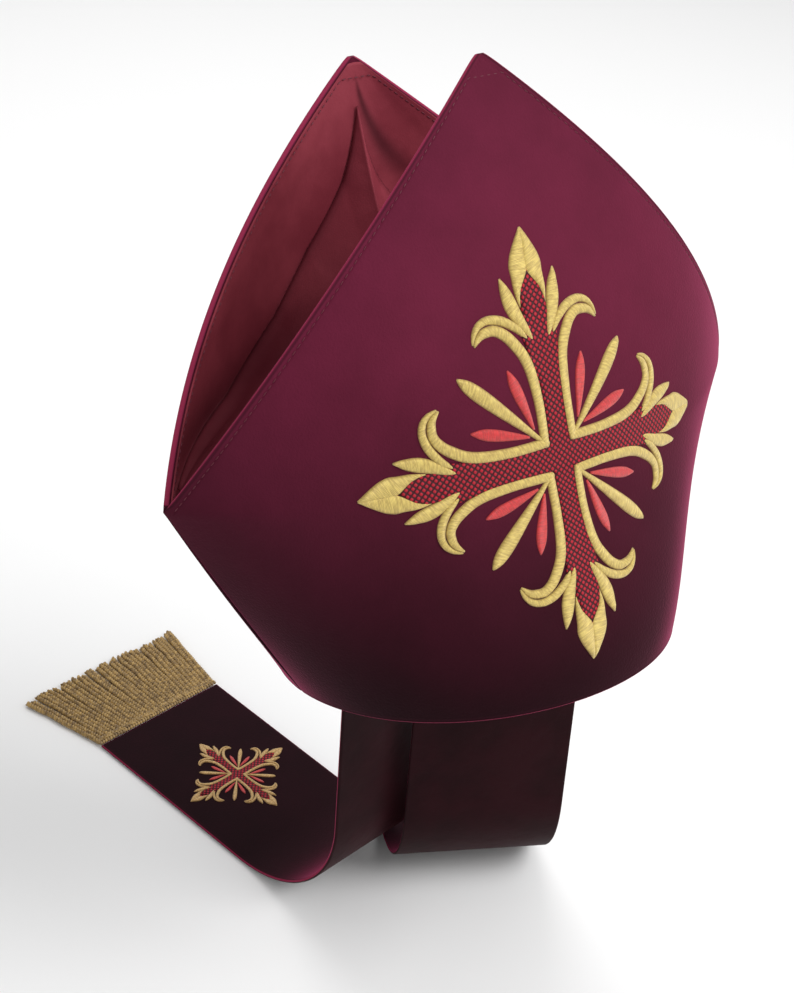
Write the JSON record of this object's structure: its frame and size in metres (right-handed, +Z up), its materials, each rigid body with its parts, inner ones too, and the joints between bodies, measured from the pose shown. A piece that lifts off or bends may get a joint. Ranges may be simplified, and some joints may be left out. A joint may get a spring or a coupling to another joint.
{
  "type": "bishop's mitre",
  "caption": "Tall ceremonial hat of two stiff pointed velvet leaves joined by a soft gusset, with a raised embroidered cross and two fringed lappets hanging behind.",
  "frame": {"origin": "middle of the opening for the head, level with the foot of the side seams", "axes": "+Z up as worn, -Y the way the front leaf faces, +X towards the wearer's left"},
  "size_m": [0.4046, 0.4855, 0.5605],
  "materials": {
    "velvet": "matt burgundy pile with a rose sheen at grazing angles",
    "satin": "soft burgundy satin",
    "gold_thread": "lustrous gold satin stitch",
    "red_thread": "deep red basket stitch",
    "coral_thread": "coral red satin stitch",
    "fringe_gold": "dull gold twisted cord"
  },
  "bodies": {
    "root": {"front_leaf": "velvet", "back_leaf": "velvet", "front_lining": "satin", "back_lining": "satin", "gusset": "satin", "front_cross_gold": "gold_thread", "front_cross_red": "red_thread", "front_ray_1a": "coral_thread", "front_ray_1b": "coral_thread", "front_ray_2a": "coral_thread", "front_ray_2b": "coral_thread", "front_ray_3a": "coral_thread", "front_ray_3b": "coral_thread", "front_ray_4a": "coral_thread", "front_ray_4b": "coral_thread", "lappet_left": "velvet", "lappet_cross_left_gold": "gold_thread", "lappet_cross_left_red": "red_thread", "fringe_left": "fringe_gold", "lappet_right": "velvet", "lappet_cross_right_gold": "gold_thread", "lappet_cross_right_red": "red_thread", "fringe_right": "fringe_gold"}
  },
  "joints": []
}
